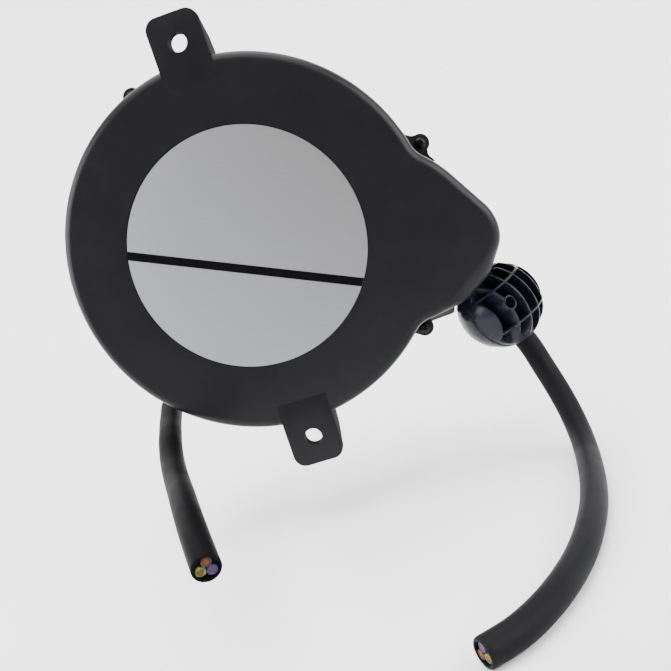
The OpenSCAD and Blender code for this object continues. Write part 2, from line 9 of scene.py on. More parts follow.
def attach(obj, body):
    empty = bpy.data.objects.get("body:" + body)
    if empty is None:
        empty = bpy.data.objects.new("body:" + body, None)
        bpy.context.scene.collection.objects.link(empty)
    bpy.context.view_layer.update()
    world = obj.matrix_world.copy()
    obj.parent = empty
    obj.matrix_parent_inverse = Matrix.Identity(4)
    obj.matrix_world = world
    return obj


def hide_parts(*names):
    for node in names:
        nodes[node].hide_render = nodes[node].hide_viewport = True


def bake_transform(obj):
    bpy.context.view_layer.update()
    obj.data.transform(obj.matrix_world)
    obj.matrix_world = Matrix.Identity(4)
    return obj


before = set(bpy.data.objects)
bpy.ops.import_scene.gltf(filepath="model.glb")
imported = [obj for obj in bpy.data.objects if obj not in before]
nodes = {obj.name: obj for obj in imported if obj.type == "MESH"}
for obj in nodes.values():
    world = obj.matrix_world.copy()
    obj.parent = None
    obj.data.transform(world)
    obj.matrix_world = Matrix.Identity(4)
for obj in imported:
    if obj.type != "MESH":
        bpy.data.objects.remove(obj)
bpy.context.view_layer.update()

random.seed(7)
MM = 0.001


def V(p):
    return Vector((p[0] * MM, p[1] * MM, p[2] * MM))


# ------------------------------------------------------------------ camera
cam_data = bpy.data.cameras.new("view_camera")
cam_data.sensor_fit = "HORIZONTAL"
cam_data.sensor_width = 36.0
cam_data.lens = 900.0 / 671.0 * 36.0
cam_data.clip_start = 0.01
cam_data.clip_end = 20.0
camera = bpy.data.objects.new("view_camera", cam_data)
bpy.context.scene.collection.objects.link(camera)
right = Vector((0.9483, 0.062, -0.3113)).normalized()
fwd = Vector((-0.119, 0.9786, -0.1677)).normalized()
down = fwd.cross(right).normalized()
right = down.cross(fwd).normalized()
rot = Matrix((right, -down, -fwd)).transposed().to_4x4()
camera.matrix_world = Matrix.Translation(Vector((0.0675, -0.36731, 0.01694))) @ rot
bpy.context.scene.camera = camera


# ------------------------------------------------------------------ small helpers
def pol(r, a):
    a = math.radians(a)
    return np.array([r * math.cos(a), r * math.sin(a)])


def arc(c, r, a0, a1, n):
    return [c + pol(r, a0 + (a1 - a0) * i / n) for i in range(n + 1)]


def mesh_object(name, verts, faces, smooth=True):
    me = bpy.data.meshes.new(name)
    me.from_pydata([tuple(v) for v in verts], [], [tuple(f) for f in faces])
    me.validate()
    me.update()
    ob = bpy.data.objects.new(name, me)
    bpy.context.scene.collection.objects.link(ob)
    if smooth:
        me.polygons.foreach_set("use_smooth", [True] * len(me.polygons))
    return ob


def tidy(ob, dist=1e-6):
    bm = bmesh.new()
    bm.from_mesh(ob.data)
    bmesh.ops.remove_doubles(bm, verts=bm.verts, dist=dist)
    bmesh.ops.recalc_face_normals(bm, faces=bm.faces)
    bm.to_mesh(ob.data)
    bm.free()
    ob.data.update()


def sharp(ob, deg=30):
    """smooth shading with hard edges above an angle"""
    bm = bmesh.new()
    bm.from_mesh(ob.data)
    lim = math.radians(deg)
    for f in bm.faces:
        f.smooth = True
    for e in bm.edges:
        if len(e.link_faces) == 2:
            e.smooth = e.calc_face_angle(0.0) < lim
        else:
            e.smooth = False
    bm.to_mesh(ob.data)
    bm.free()


def apply_mods(ob):
    dg = bpy.context.evaluated_depsgraph_get()
    dg.update()
    me = bpy.data.meshes.new_from_object(ob.evaluated_get(dg))
    ob.modifiers.clear()
    ob.data = me


def boolean(ob, cutter, op="DIFFERENCE"):
    m = ob.modifiers.new("b", "BOOLEAN")
    m.operation = op
    m.object = cutter
    m.solver = "EXACT"
    apply_mods(ob)
    bpy.data.objects.remove(cutter, do_unlink=True)


def bevel(ob, width, segs=2, angle=35):
    m = ob.modifiers.new("v", "BEVEL")
    m.width = width
    m.segments = segs
    m.limit_method = "ANGLE"
    m.angle_limit = math.radians(angle)
    m.use_clamp_overlap = True
    m.harden_normals = False
    apply_mods(ob)


def tube(name, pts, radius, n=24, caps=True, prof=None):
    """round tube along points (mm), with parallel-transport rings; prof gives a radius for each point"""
    P = [np.array(p, float) for p in pts]
    m = len(P)
    T = []
    for i in range(m):
        t = P[min(i + 1, m - 1)] - P[max(i - 1, 0)]
        T.append(t / np.linalg.norm(t))
    a = np.cross(T[0], [0.3, 0.9, 0.2])
    a /= np.linalg.norm(a)
    verts = []
    faces = []
    for i in range(m):
        if i:
            a = a - T[i] * a.dot(T[i])
            a /= np.linalg.norm(a)
        b = np.cross(T[i], a)
        r = prof[i] if prof is not None else radius
        for k in range(n):
            w = 2 * math.pi * k / n
            verts.append((P[i] + r * (math.cos(w) * a + math.sin(w) * b)) * MM)
    for i in range(m - 1):
        for k in range(n):
            k2 = (k + 1) % n
            faces.append((i * n + k, i * n + k2, (i + 1) * n + k2, (i + 1) * n + k))
    if caps:
        faces.append(tuple(range(n - 1, -1, -1)))
        faces.append(tuple((m - 1) * n + k for k in range(n)))
    ob = mesh_object(name, verts, faces)
    return ob


def catmull(pts, step=2.0):
    """smooth line through the points (mm), resampled at about step"""
    P = [np.array(p, float) for p in pts]
    P = [2 * P[0] - P[1]] + P + [2 * P[-1] - P[-2]]
    out = []
    for i in range(1, len(P) - 2):
        p0, p1, p2, p3 = P[i - 1 : i + 3]
        d = [max(np.linalg.norm(q) ** 0.5, 1e-6) for q in (p1 - p0, p2 - p1, p3 - p2)]
        t0, t1 = 0.0, d[0]
        t2 = t1 + d[1]
        t3 = t2 + d[2]
        n = max(2, int(np.linalg.norm(p2 - p1) / step))
        for k in range(n):
            t = t1 + (t2 - t1) * k / n
            A1 = (t1 - t) / (t1 - t0) * p0 + (t - t0) / (t1 - t0) * p1
            A2 = (t2 - t) / (t2 - t1) * p1 + (t - t1) / (t2 - t1) * p2
            A3 = (t3 - t) / (t3 - t2) * p2 + (t - t2) / (t3 - t2) * p3
            B1 = (t2 - t) / (t2 - t0) * A1 + (t - t0) / (t2 - t0) * A2
            B2 = (t3 - t) / (t3 - t1) * A2 + (t - t1) / (t3 - t1) * A3
            out.append((t2 - t) / (t2 - t1) * B1 + (t - t1) / (t2 - t1) * B2)
    out.append(P[-2])
    return out


def revolve(name, prof, centre=(0, 0, 0), axis="Y", n=96, smooth=True):
    """profile of (radius, depth) in mm turned about an axis through centre; depth runs along it"""
    verts = []
    faces = []
    m = len(prof)
    c = np.array(centre, float)
    if isinstance(axis, str):
        ax = {"X": (1, 0, 0), "Y": (0, 1, 0), "Z": (0, 0, 1)}[axis]
    else:
        ax = axis
    ax = np.array(ax, float)
    ax /= np.linalg.norm(ax)
    h = np.array([0, 0, 1.0]) if abs(ax[2]) < 0.9 else np.array([1.0, 0, 0])
    u = np.cross(h, ax)
    u /= np.linalg.norm(u)
    w = np.cross(ax, u)
    for i in range(n):
        t = 2 * math.pi * i / n
        for r, y in prof:
            verts.append((c + ax * y + r * (math.cos(t) * u + math.sin(t) * w)) * MM)
    for i in range(n):
        j = (i + 1) % n
        for k in range(m - 1):
            faces.append((i * m + k, j * m + k, j * m + k + 1, i * m + k + 1))
    ob = mesh_object(name, verts, faces, smooth)
    tidy(ob, 1e-7)
    return ob


def set_mat(ob, mat):
    if len(ob.material_slots):
        for s in ob.material_slots:
            s.material = mat
    else:
        ob.data.materials.append(mat)


# ------------------------------------------------------------------ materials
class Mat:
    def __init__(self, name):
        self.m = bpy.data.materials.new(name)
        self.m.use_nodes = True
        self.t = self.m.node_tree
        self.t.nodes.clear()
        self.out = self.t.nodes.new("ShaderNodeOutputMaterial")
        self.b = self.t.nodes.new("ShaderNodeBsdfPrincipled")
        self.t.links.new(self.b.outputs[0], self.out.inputs["Surface"])
        self.co = self.t.nodes.new("ShaderNodeTexCoord")

    def n(self, kind, **kw):
        node = self.t.nodes.new(kind)
        for k, v in kw.items():
            if k.startswith("i_"):
                key = k[2:].replace("_", " ")
                node.inputs[key].default_value = v
            else:
                setattr(node, k, v)
        return node

    def l(self, a, b):
        self.t.links.new(a, b)

    def set(self, **kw):
        for k, v in kw.items():
            self.b.inputs[k.replace("_", " ")].default_value = v

    def obj(self):
        return self.co.outputs["Object"]

    def noise(self, scale, detail=2.0, rough=0.5, vec=None, stretch=None):
        src = vec if vec is not None else self.obj()
        if stretch is not None:
            mp = self.n("ShaderNodeMapping")
            mp.inputs["Scale"].default_value = stretch
            self.l(src, mp.inputs["Vector"])
            src = mp.outputs["Vector"]
        nz = self.n("ShaderNodeTexNoise")
        nz.inputs["Scale"].default_value = scale
        nz.inputs["Detail"].default_value = detail
        nz.inputs["Roughness"].default_value = rough
        self.l(src, nz.inputs["Vector"])
        return nz.outputs["Fac"]

    def ramp(self, fac, stops):
        r = self.n("ShaderNodeValToRGB")
        el = r.color_ramp.elements
        while len(el) > 1:
            el.remove(el[-1])
        el[0].position = stops[0][0]
        el[0].color = stops[0][1]
        for p, c in stops[1:]:
            e = el.new(p)
            e.color = c
        self.l(fac, r.inputs["Fac"])
        return r.outputs["Color"]

    def map(self, v, a, b, c, d):
        r = self.n("ShaderNodeMapRange")
        r.inputs["From Min"].default_value = a
        r.inputs["From Max"].default_value = b
        r.inputs["To Min"].default_value = c
        r.inputs["To Max"].default_value = d
        self.l(v, r.inputs["Value"])
        return r.outputs["Result"]

    def math(self, op, a, b=None):
        m = self.n("ShaderNodeMath", operation=op)
        for i, v in enumerate((a, b)):
            if v is None:
                continue
            if isinstance(v, (int, float)):
                m.inputs[i].default_value = v
            else:
                self.l(v, m.inputs[i])
        return m.outputs[0]

    def bump(self, heights):
        """heights: list of (socket, strength, distance)"""
        prev = None
        for h, s, d in heights:
            b = self.n("ShaderNodeBump")
            b.inputs["Strength"].default_value = s
            b.inputs["Distance"].default_value = d
            self.l(h, b.inputs["Height"])
            if prev is not None:
                self.l(prev, b.inputs["Normal"])
            prev = b.outputs["Normal"]
        self.l(prev, self.b.inputs["Normal"])
        return prev


def rgb(v, a=1.0):
    return (v[0], v[1], v[2], a)


def plastic(name, base, rough, spec=0.5, grain=1400.0, grain_s=0.12, mottling=0.12, coat=0.0):
    m = Mat(name)
    n1 = m.noise(38.0, 3.0, 0.6)
    lo = [c * (1 - mottling) for c in base]
    hi = [c * (1 + mottling) for c in base]
    m.l(m.ramp(n1, [(0.3, rgb(lo)), (0.7, rgb(hi))]), m.b.inputs["Base Color"])
    n2 = m.noise(grain, 2.0, 0.5)
    n3 = m.noise(90.0, 4.0, 0.6)
    m.l(m.map(n3, 0.3, 0.7, rough - 0.05, rough + 0.06), m.b.inputs["Roughness"])
    m.bump([(n2, grain_s, 0.00006), (n1, 0.05, 0.0004)])
    m.set(Specular_IOR_Level=spec, Coat_Weight=coat, Coat_Roughness=0.2)
    return m.m


m_housing = plastic("satin_black_housing", (0.0058, 0.0058, 0.007), 0.34, 0.15, 1500.0, 0.16)
m_matt = plastic("matt_black_inner_wall", (0.006, 0.006, 0.007), 0.75, 0.04, 1500.0, 0.2)
m_flex = plastic("soft_black_moulding", (0.018, 0.018, 0.019), 0.55, 0.45, 900.0, 0.2)
m_ball = plastic("ball_blue_black", (0.0068, 0.0076, 0.014), 0.26, 0.2, 500.0, 0.04, 0.2, 0.0)
m_drum = plastic("drum_dark_grey", (0.05, 0.05, 0.052), 0.45)
m_nylon = plastic("natural_nylon", (0.72, 0.69, 0.6), 0.42, 0.5, 900.0, 0.1, 0.05)


def cable_material(name, k, spec):
    m = Mat(name)
    n1 = m.noise(30.0, 3.0, 0.55)
    # k scales the sheath colour; the tail's copy sets it below 1 as painted shade
    m.l(m.ramp(n1, [(0.25, (0.0038 * k, 0.0038 * k, 0.0046 * k, 1)), (0.75, (0.006 * k, 0.006 * k, 0.007 * k, 1))]), m.b.inputs["Base Color"])
    n2 = m.noise(700.0, 2.0, 0.6)
    n3 = m.noise(55.0, 3.0, 0.6)
    m.l(m.map(n3, 0.3, 0.7, 0.46, 0.6), m.b.inputs["Roughness"])
    m.bump([(n2, 0.15, 0.00008), (n3, 0.12, 0.0005)])
    m.set(Specular_IOR_Level=spec)
    return m.m


m_cable = cable_material("cable_sheath_black", 1.0, 0.055)
# painted shade: the tail's sheath is the same cable at half the brightness and less shine, darkened for the shade it
# hangs in
m_tail_painted_shade = cable_material("tail_sheath_painted_shade", 0.5, 0.03)


def metal(name, base, rough, aniso=0.0, scratch=(1, 1, 1), scale=400.0, bump=0.1):
    m = Mat(name)
    n1 = m.noise(scale, 3.0, 0.6, stretch=scratch)
    lo = [c * 0.85 for c in base]
    m.l(m.ramp(n1, [(0.3, rgb(lo)), (0.7, rgb(base))]), m.b.inputs["Base Color"])
    m.l(m.map(n1, 0.3, 0.7, rough - 0.08, rough + 0.1), m.b.inputs["Roughness"])
    m.bump([(n1, bump, 0.00004)])
    m.set(Metallic=1.0, Anisotropic=aniso)
    return m.m


m_steel = metal("bright_steel", (0.62, 0.62, 0.64), 0.32)
m_black_screw = metal("black_screw", (0.016, 0.016, 0.017), 0.36)
m_spring = metal("spring_steel", (0.34, 0.37, 0.43), 0.35, 0.3, (1, 30, 1))
m_brass = metal("plain_brass", (0.78, 0.56, 0.26), 0.34)
m_ring = metal("copper_ring", (0.82, 0.48, 0.3), 0.28)


def label_material():
    """brushed silver foil: fine streaks along the bar's direction, and painted shade across it, darker towards the
    right and the top
    """
    m = Mat("brushed_silver_label")
    mp = m.n("ShaderNodeMapping", vector_type="POINT")
    mp.inputs["Rotation"].default_value = (0, math.radians(-25.0), 0)
    m.l(m.obj(), mp.inputs["Vector"])
    v = mp.outputs["Vector"]
    n1 = m.noise(60.0, 4.0, 0.65, vec=v, stretch=(0.6, 1.0, 40.0))
    n2 = m.noise(9.0, 2.0, 0.5, vec=v)
    sx = m.n("ShaderNodeSeparateXYZ")
    m.l(m.obj(), sx.inputs[0])
    # painted shade: the foil's tone runs from light at the lower left to dark at the upper right, blended with the real
    # streaks
    painted_shade_slope = m.math("ADD", m.math("MULTIPLY", sx.outputs["X"], 0.8), m.math("MULTIPLY", sx.outputs["Z"], 0.5))
    g = m.map(painted_shade_slope, -0.045, 0.045, 0.0, 1.0)
    streaks_and_painted_shade = m.math("ADD", m.math("MULTIPLY", g, 0.8), m.math("MULTIPLY", n1, 0.2))
    m.l(
        m.ramp(streaks_and_painted_shade, [(0.0, (0.248, 0.252, 0.268, 1)), (0.5, (0.2, 0.202, 0.212, 1)), (1.0, (0.145, 0.143, 0.147, 1))]),
        m.b.inputs["Base Color"],
    )
    m.l(m.map(n1, 0.3, 0.7, 0.5, 0.62), m.b.inputs["Roughness"])
    m.bump([(n1, 0.06, 0.00003)])
    m.set(Metallic=0.35, Specular_IOR_Level=0.4)
    return m.m


m_label = label_material()
m_bar = plastic("label_bar_black", (0.0018, 0.0018, 0.0024), 0.65, 0.035, 900.0, 0.05)


def core_mat(name, base, stripe=None):
    m = Mat(name)
    n1 = m.noise(300.0, 2.0, 0.5)
    lo = [c * 0.8 for c in base]
    if stripe is None:
        m.l(m.ramp(n1, [(0.3, rgb(lo)), (0.7, rgb(base))]), m.b.inputs["Base Color"])
    else:
        w = m.n("ShaderNodeTexWave", wave_type="BANDS", bands_direction="DIAGONAL")
        w.inputs["Scale"].default_value = 160.0
        m.l(m.obj(), w.inputs["Vector"])
        m.l(m.ramp(w.outputs["Fac"], [(0.4, rgb(base)), (0.6, rgb(stripe))]), m.b.inputs["Base Color"])
    m.l(m.map(n1, 0.3, 0.7, 0.34, 0.46), m.b.inputs["Roughness"])
    m.bump([(n1, 0.1, 0.00005)])
    m.set(Specular_IOR_Level=0.12)
    return m.m


m_brown = core_mat("core_brown", (0.055, 0.028, 0.015))
m_blue = core_mat("core_blue", (0.022, 0.026, 0.15))
m_gy = core_mat("core_green_yellow", (0.16, 0.16, 0.016), (0.035, 0.09, 0.02))
m_core = core_mat("core_insulation", (0.3, 0.17, 0.08))
m_copper = metal("bare_copper", (0.24, 0.1, 0.055), 0.42)

for n, mm in {
    "front_cover": m_housing, "rear_cover": m_housing, "slip_ring_cover": m_housing, "gland_nut": m_housing,
    "tail_strain_relief": m_flex, "outlet_bush": m_flex,
    "wound_cable": m_cable, "cable_inner_end": m_cable, "cable_run": m_cable, "clamped_cable": m_cable,
    "main_cable": m_cable, "tail_cable": m_tail_painted_shade, "gland_cable": m_tail_painted_shade,
    "ball_half_front": m_ball, "ball_half_rear": m_ball, "label_disc": m_label,
    "housing_screws": m_black_screw, "cover_screws": m_black_screw,
    "centre_shaft": m_steel, "shaft_circlip": m_steel, "roller_pins": m_steel, "pawl_pin": m_steel,
    "ball_screws": m_black_screw, "ball_nuts": m_steel, "contact_screws": m_steel, "cable_anchor": m_steel,
    "anchor_screw": m_steel, "pawl_spring": m_steel, "spring_cover": m_steel, "spring_divider": m_steel,
    "power_spring": m_spring, "drum": m_drum, "drum_front_flange": m_drum,
    "slip_ring_carrier": m_nylon, "contact_holder": m_nylon, "upper_roller": m_nylon, "lower_roller": m_nylon,
    "ratchet_ring": m_nylon, "latch_pawl": m_nylon, "front_bush": m_brass, "rear_bush": m_brass,
    "contact_fingers": m_brass, "slip_ring_live": m_ring, "slip_ring_neutral": m_ring, "slip_ring_earth": m_ring,
    "drum_core_wires": m_core, "tail_core_wires": m_core,
}.items():
    set_mat(nodes[n], mm)

# ------------------------------------------------------------------ cords
lead_r = 66.85
t0 = pol(lead_r, 20.0)
dv = pol(1.0, -70.0)
nv = pol(1.0, 20.0)
D = np.array([dv[0], 0.0, dv[1]])
N = np.array([nv[0], 0.0, nv[1]])
Y = np.array([0.0, 1.0, 0.0])
ball_r = 18.8
ball_s = 87.2


def on_line(s, o=0.0):
    p = t0 + dv * s + nv * o
    return np.array([p[0], 26.0, p[1]])


main_exit = on_line(ball_s + 0.94 * ball_r)
main_route = [main_exit, main_exit + 6 * D,
    [103.3, 24.3, -90.7], [106, 19.5, -101], [107.7, 11.6, -110.2], [108, 1.2, -117],
    [107.1, -10.8, -120.5], [105.6, -23.4, -121], [103.7, -36.6, -121], [101.4, -49.6, -121],
    [98.4, -62.6, -121], [94.6, -75.2, -121], [90.1, -87.7, -121], [84.6, -99.7, -121],
    [78, -111, -121], [70.3, -121.4, -121], [61.2, -130.3, -121], [50.4, -136.8, -121]]
ta = pol(1.0, 219.2)
tail_exit = np.array([ta[0] * 44, 70.0, ta[1] * 44])
tail_route = [tail_exit, tail_exit + 8 * np.array([ta[0], 0, ta[1]]),
    [-48.5, 68.4, -40.1], [-54.8, 64.2, -46.6], [-60.2, 57.6, -52.6], [-64.2, 49.4, -57.6],
    [-66.8, 40, -62], [-65.5, 29.5, -64.4], [-63.6, 18.5, -66], [-61, 7.1, -66.9], [-58.7, -4.3, -68.7],
    [-56.2, -15.6, -71.2], [-53.2, -26.7, -73.2], [-49.8, -37.7, -74.6], [-46.1, -48.8, -75.4],
    [-42.3, -59.9, -75.8], [-38.6, -71.1, -76.2], [-34.9, -82.1, -77], [-31.2, -93, -78.4],
    [-27.5, -103.6, -80.6], [-23.7, -114.2, -83.8]]


def length(p):
    return sum(float(np.linalg.norm(np.array(p[i + 1]) - np.array(p[i]))) for i in range(len(p) - 1)) * MM


def cut_end(name, p, t, up, ride_on, spin, order, sc):
    """three insulated cores with stranded copper in a cut cable end; p and t are the end point and the outward
    direction
    """
    t = np.array(t, float)
    t /= np.linalg.norm(t)
    u = np.array(up, float)
    u = u - t * u.dot(t)
    u /= np.linalg.norm(u)
    w = np.cross(t, u)
    made = []
    for k, mm in enumerate(order):
        a = math.radians(spin + 120 * k)
        c = np.array(p) + 2.15 * sc * (math.cos(a) * u + math.sin(a) * w)
        prof = [(1.1, -3.0), (1.1, 0.12), (1.3, 0.2), (1.68, 0.16), (1.8, 0.0), (1.8, -3.0)]
        ins = revolve(f"{name}_core_{k}", [(r * sc, z) for r, z in prof + prof[:1]], c, t, 32)
        set_mat(ins, mm)
        made.append(ins)
        # stranded copper: one wire in the middle, six and twelve round it
        vs, fs = [], []
        for ringn, rr in ((1, 0.0), (6, 0.42), (12, 0.84)):
            for q in range(ringn):
                b = 2 * math.pi * q / ringn + ringn * 0.21
                cc = c + rr * sc * (math.cos(b) * u + math.sin(b) * w) + t * (0.1 + 0.12 * math.sin(q * 2.4 + ringn))
                base = len(vs)
                for z, r in ((-2.0, 0.2), (-0.05, 0.2), (0.02, 0.12)):
                    for s in range(8):
                        g = 2 * math.pi * s / 8
                        vs.append((cc + t * z + r * (math.cos(g) * u + math.sin(g) * w)) * MM)
                for z in range(2):
                    for s in range(8):
                        s2 = (s + 1) % 8
                        fs.append((base + z * 8 + s, base + z * 8 + s2, base + z * 8 + 8 + s2, base + z * 8 + 8 + s))
                fs.append(tuple(base + 16 + s for s in range(8)))
                fs.append(tuple(base + 7 - s for s in range(8)))
        cu = mesh_object(f"{name}_copper_{k}", vs, fs)
        tidy(cu, 1e-9)
        set_mat(cu, m_copper)
        made.append(cu)
    for ob in made:
        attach(ob, ride_on)
    return made


def sheath(name, route, ride_on, up, spin, order, node, lip, sc):
    """the free cable: a tube whose cut end is dished round its cores"""
    line = catmull(route, 1.6)
    P = line
    n = 40
    m = len(P)
    T = []
    for i in range(m):
        t = P[min(i + 1, m - 1)] - P[max(i - 1, 0)]
        T.append(t / np.linalg.norm(t))
    T[0] = (np.array(route[1]) - np.array(route[0])) / np.linalg.norm(np.array(route[1]) - np.array(route[0]))
    rings = [(P[i], T[i], 5.0) for i in range(m - 1)]
    e, te = P[-1], T[-1]
    rings += [(e + te * z, te, r) for z, r in lip]
    a = np.cross(T[0], [0.3, 0.9, 0.2])
    a /= np.linalg.norm(a)
    verts, faces = [], []
    for p, t, r in rings:
        a = a - t * a.dot(t)
        a /= np.linalg.norm(a)
        b = np.cross(t, a)
        for k in range(n):
            w = 2 * math.pi * k / n
            verts.append((p + r * (math.cos(w) * a + math.sin(w) * b)) * MM)
    for i in range(len(rings) - 1):
        for k in range(n):
            k2 = (k + 1) % n
            faces.append((i * n + k, i * n + k2, (i + 1) * n + k2, (i + 1) * n + k))
    faces.append(tuple(range(n - 1, -1, -1)))
    ob = mesh_object(name, verts, faces)
    tidy(ob, 2e-6)
    sharp(ob, 50)
    set_mat(ob, m_cable)
    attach(ob, ride_on)
    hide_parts(node)
    ends = cut_end(name, e - te * 0.5, te, up, ride_on, spin, order, sc)
    L = length(P)
    return ob, L


square_lip = [(-0.35, 5.0), (-0.1, 4.9), (0, 4.72), (-0.02, 4.3), (-0.25, 4.08), (-1.1, 4.0), (-1.1, 0.0)]
round_lip = [(-1.0, 4.99), (-0.62, 4.9), (-0.32, 4.72), (-0.1, 4.45), (0, 4.1), (-0.06, 3.8), (-0.3, 3.66), (-1.2, 3.62), (-1.2, 0.0)]
main_ob, main_len = sheath("main_cable_sheath", main_route, "cable_end", (0, 0, 1), 120, (m_brown, m_gy, m_blue), "main_cable", round_lip, 0.9)
tail_ob, tail_len = sheath("tail_cable_sheath", tail_route, "housing", (0, 0, 1), -14, (m_brown, m_gy, m_blue), "tail_cable", square_lip, 1.0)
# the tail sheath takes the darker copy of the cable: painted shade
set_mat(tail_ob, m_tail_painted_shade)

# ------------------------------------------------------------------ housing
HR = 78.0
FR = 3.9
cu = pol(HR + 12, 14)
e1 = cu + pol(12, 227)
c2 = e1 + pol(50, 227)
e2 = c2 + pol(50, 31.5)
e3 = e2 + pol(18, -58.5)
c3 = e3 - pol(20, 31.5)
e4 = c3 + pol(20, -2)
c4 = e4 - pol(16, -2)
e5 = c4 + pol(16, -33)
e6 = e5 + pol(10, -123)
c5 = e6 - pol(4.2, -33)
e7 = c5 + pol(4.2, -57.5)
e8 = e7 + pol(10.7, -147.5)
c6 = e8 - pol(16, -57.5)
e9 = c6 + pol(16, -82)
e10 = e9 + pol(13.8, -172)
u9 = pol(1, -82)
r9 = (e10.dot(e10) - HR * HR) / (2 * HR - 2 * e10.dot(u9))
c7 = e10 + r9 * u9
fb = math.degrees(math.atan2(c7[1], c7[0]))


def lerp_pts(a, b, n):
    return [a + (b - a) * i / n for i in range(1, n)]


def outline(d, dn):
    """edge of disc and nose in X and Z, moved inwards by d on the disc and dn on the nose"""
    n1, n7 = 16, 12
    out = []
    for i in range(n1 + 1):
        t = i / n1
        t = t * t * (3 - 2 * t)
        dd = d + (dn - d) * t
        out.append(cu + pol(12 + dd, 194 + 33 * i / n1))
    out += arc(c2, 50 - dn, 47, 31.5, 8)[1:]
    s = arc(c3, 20 - dn, 31.5, -2, 16)
    out += lerp_pts(out[-1], s[0], 6) + s
    out += arc(c4, 16 - dn, -2, -33, 16)[1:]
    s = arc(c5, max(4.2 - dn, 0.12), -33, -57.5, 8)
    out += lerp_pts(out[-1], s[0], 10) + s
    s = arc(c6, 16 - dn, -57.5, -82, 10)
    out += lerp_pts(out[-1], s[0], 11) + s
    out += lerp_pts(out[-1], c7 + pol(r9 + dn, 98), 12)
    for i in range(0, n7 + 1):
        t = i / n7
        t = t * t * (3 - 2 * t)
        dd = dn + (d - dn) * t
        out.append(c7 + pol(r9 + dd, 98 + (180 + fb - 98) * i / n7))
    nd = 220
    for i in range(1, nd):
        out.append(pol(HR - d, fb + (14 - 360 - fb) * i / nd))
    return out


def shell(name, rings, cap_centre, cap_r, cap_y, cap_depth=0.0, through=False):
    """rings: list of (outline points, y), from the inner face round the edge to the outer face, which has a round
    seat; the seat has a floor, or goes through to the inner face"""
    m = len(rings[0][0])
    vs, fs = [], []
    for pts, y in rings:
        ys = y if hasattr(y, "__len__") else [y] * m
        for p, yy in zip(pts, ys):
            vs.append((p[0] * MM, yy * MM, p[1] * MM))
    for i in range(len(rings) - 1):
        for k in range(m):
            k2 = (k + 1) % m
            fs.append((i * m + k, i * m + k2, (i + 1) * m + k2, (i + 1) * m + k))
    base = len(vs)
    last = rings[-1][0]
    cc = np.array(cap_centre)
    for rr, yy in ((cap_r, cap_y), (cap_r, cap_y + cap_depth)):
        for p in last:
            v = p - cc
            v = v / np.linalg.norm(v) * rr
            vs.append(((cc[0] + v[0]) * MM, yy * MM, (cc[1] + v[1]) * MM))
    o = (len(rings) - 1) * m
    for k in range(m):
        k2 = (k + 1) % m
        fs.append((o + k, o + k2, base + k2, base + k))
        fs.append((base + k, base + k2, base + m + k2, base + m + k))
    if through:
        y0 = rings[0][1] * MM
        b2 = len(vs)
        vs += [(v[0], y0, v[2]) for v in vs[base : base + m]]
        for k in range(m):
            k2 = (k + 1) % m
            fs.append((base + m + k, base + m + k2, b2 + k2, b2 + k))
            fs.append((b2 + k, b2 + k2, k2, k))
    else:
        fs.append(tuple(range(m)))
        fs.append(tuple(base + m + k for k in range(m)))
    ob = mesh_object(name, vs, fs)
    return ob


LX, LZ = -0.9, -0.3


def seat(pts, y):
    """keep the wall clear of the ball's seat in the mouth"""
    room = math.sqrt(max(0.0, 169.0 - (26.0 - y) ** 2))
    out = []
    for p in pts:
        v = p - t0
        along, off = float(v.dot(dv)), float(v.dot(nv))
        over = along - 71.38
        out.append(p - dv * over if over > 0 and abs(off) < room else p)
    return out


def seat_in(pts, y):
    """the same for the inner face of the wall"""
    room = math.sqrt(max(0.0, 225.0 - (26.0 - y) ** 2))
    out = []
    for p in pts:
        v = p - t0
        along, off = float(v.dot(dv)), float(v.dot(nv))
        over = along - 69.2
        out.append(p - dv * over if over > 0 and abs(off) < room else p)
    return out


def along_line(P):
    out = [0.0]
    for i in range(len(P) - 1):
        out.append(out[-1] + float(np.linalg.norm(P[i + 1] - P[i])))
    return out


def near(P, q):
    return min(range(len(P)), key=lambda i: float(np.linalg.norm(P[i] - np.array(q, float))))


# the flat front face ends further in beside the mouth, where the rounding is fuller
O_, I_ = outline(0, 0), outline(FR, FR)
i4, i10 = near(O_, e4), near(O_, e10)
inner = catmull([I_[i4], [94.6, -28.6], [92, -32], [88.6, -34.6], [84.5, -37], [80.5, -39.6], [76.8, -42.5], [73.2, -45.4], [69.5, -46.9], [65, -47.8], I_[i10]], 0.4)
lo_, li_ = along_line(O_[i4 : i10 + 1]), along_line(inner)
ties = [(0, 0), (near(O_, e5) - i4, near(inner, (93.9, -29.6))), (near(O_, e6) - i4, near(inner, (87.3, -35.4))),
    (near(O_, e7) - i4, near(inner, (85.4, -36.4))), (near(O_, e8) - i4, near(inner, (78, -41.5))),
    (near(O_, e9) - i4, near(inner, (74.3, -44.6))), (i10 - i4, len(inner) - 1)]
xo, xi = [lo_[k] for k, _ in ties], [li_[k] for _, k in ties]
fillet = [FR] * len(O_)
full0, full1 = lo_[near(O_, e6) - i4], lo_[near(O_, e8) - i4]
for k in range(i4, i10 + 1):
    w = lo_[k - i4]
    q = float(np.interp(w, xo, xi))
    I_[k] = np.array([np.interp(q, li_, [p[c] for p in inner]) for c in (0, 1)])
    g = min(1.0, w / full0, (lo_[-1] - w) / (lo_[-1] - full1))
    fillet[k] = FR + 2.1 * g * g * (3 - 2 * g)
inner_front = [(outline(5.5, 5.5), 2.5), (outline(4.2, 4.2), 3.3), (outline(3.2, 3.2), 4.2), (outline(2.5, 2.5), 5.5)]
inner_front += [(seat_in(outline(2.5, 2.5), y), y) for y in (9.0, 11.1, 13.1, 15.5, 17.5, 20.0, 23.0, 25.6)]
rings = [(outline(2.5, 2.5), 26.0), (outline(0.35, 0.35), 26.0), (outline(0.08, 0.08), 25.8)]
